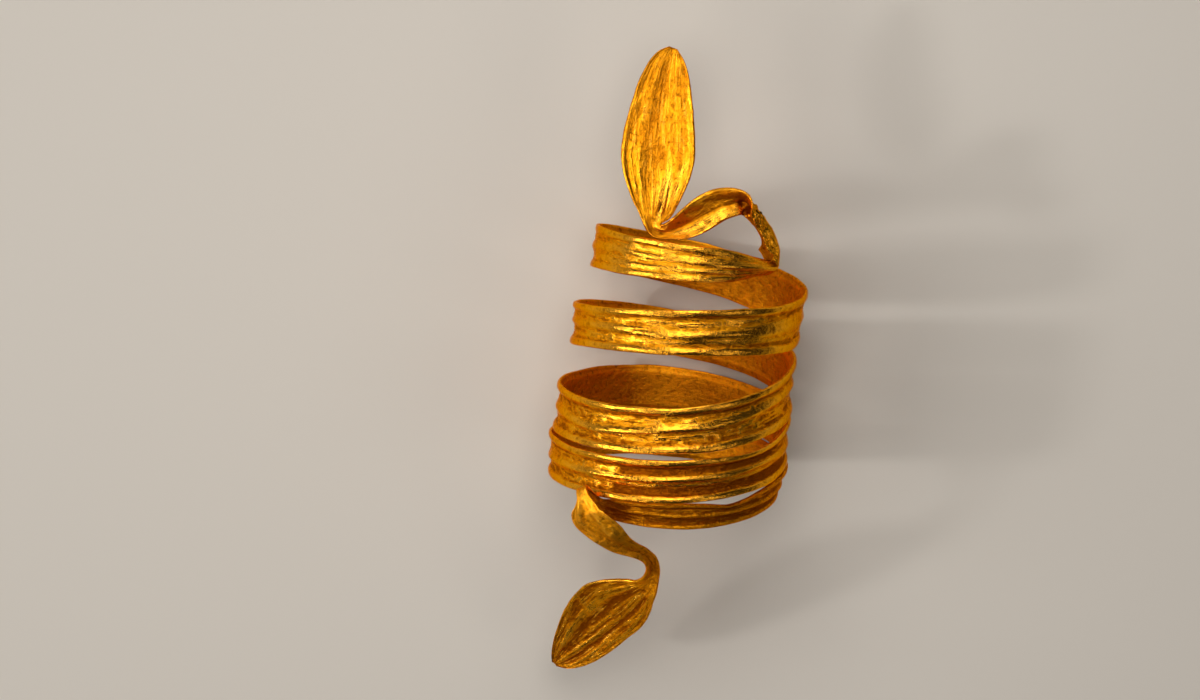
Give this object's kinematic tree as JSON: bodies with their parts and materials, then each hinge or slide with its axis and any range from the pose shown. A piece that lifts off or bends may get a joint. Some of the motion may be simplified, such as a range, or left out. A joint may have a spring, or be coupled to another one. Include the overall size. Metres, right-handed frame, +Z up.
{
  "type": "spiral finger ring",
  "caption": "Spiral finger ring of one ribbed strip of hammered gold, coiled several times round; each end folds back into a stem with a flat, veined, leaf-shaped terminal.",
  "frame": {"origin": "on the surface the ring lies on, below the middle of its bounding box", "axes": "+Y along the coil's axis towards the upper leaf, +Z up from the surface the ring lies on, +X to the right with the upper leaf pointing away from the viewer"},
  "size_m": [0.0206, 0.0542, 0.0202],
  "materials": {
    "hammered_gold": "hammered, soft polish"
  },
  "bodies": {
    "root": {"spiral_ring": "hammered_gold"}
  },
  "joints": []
}
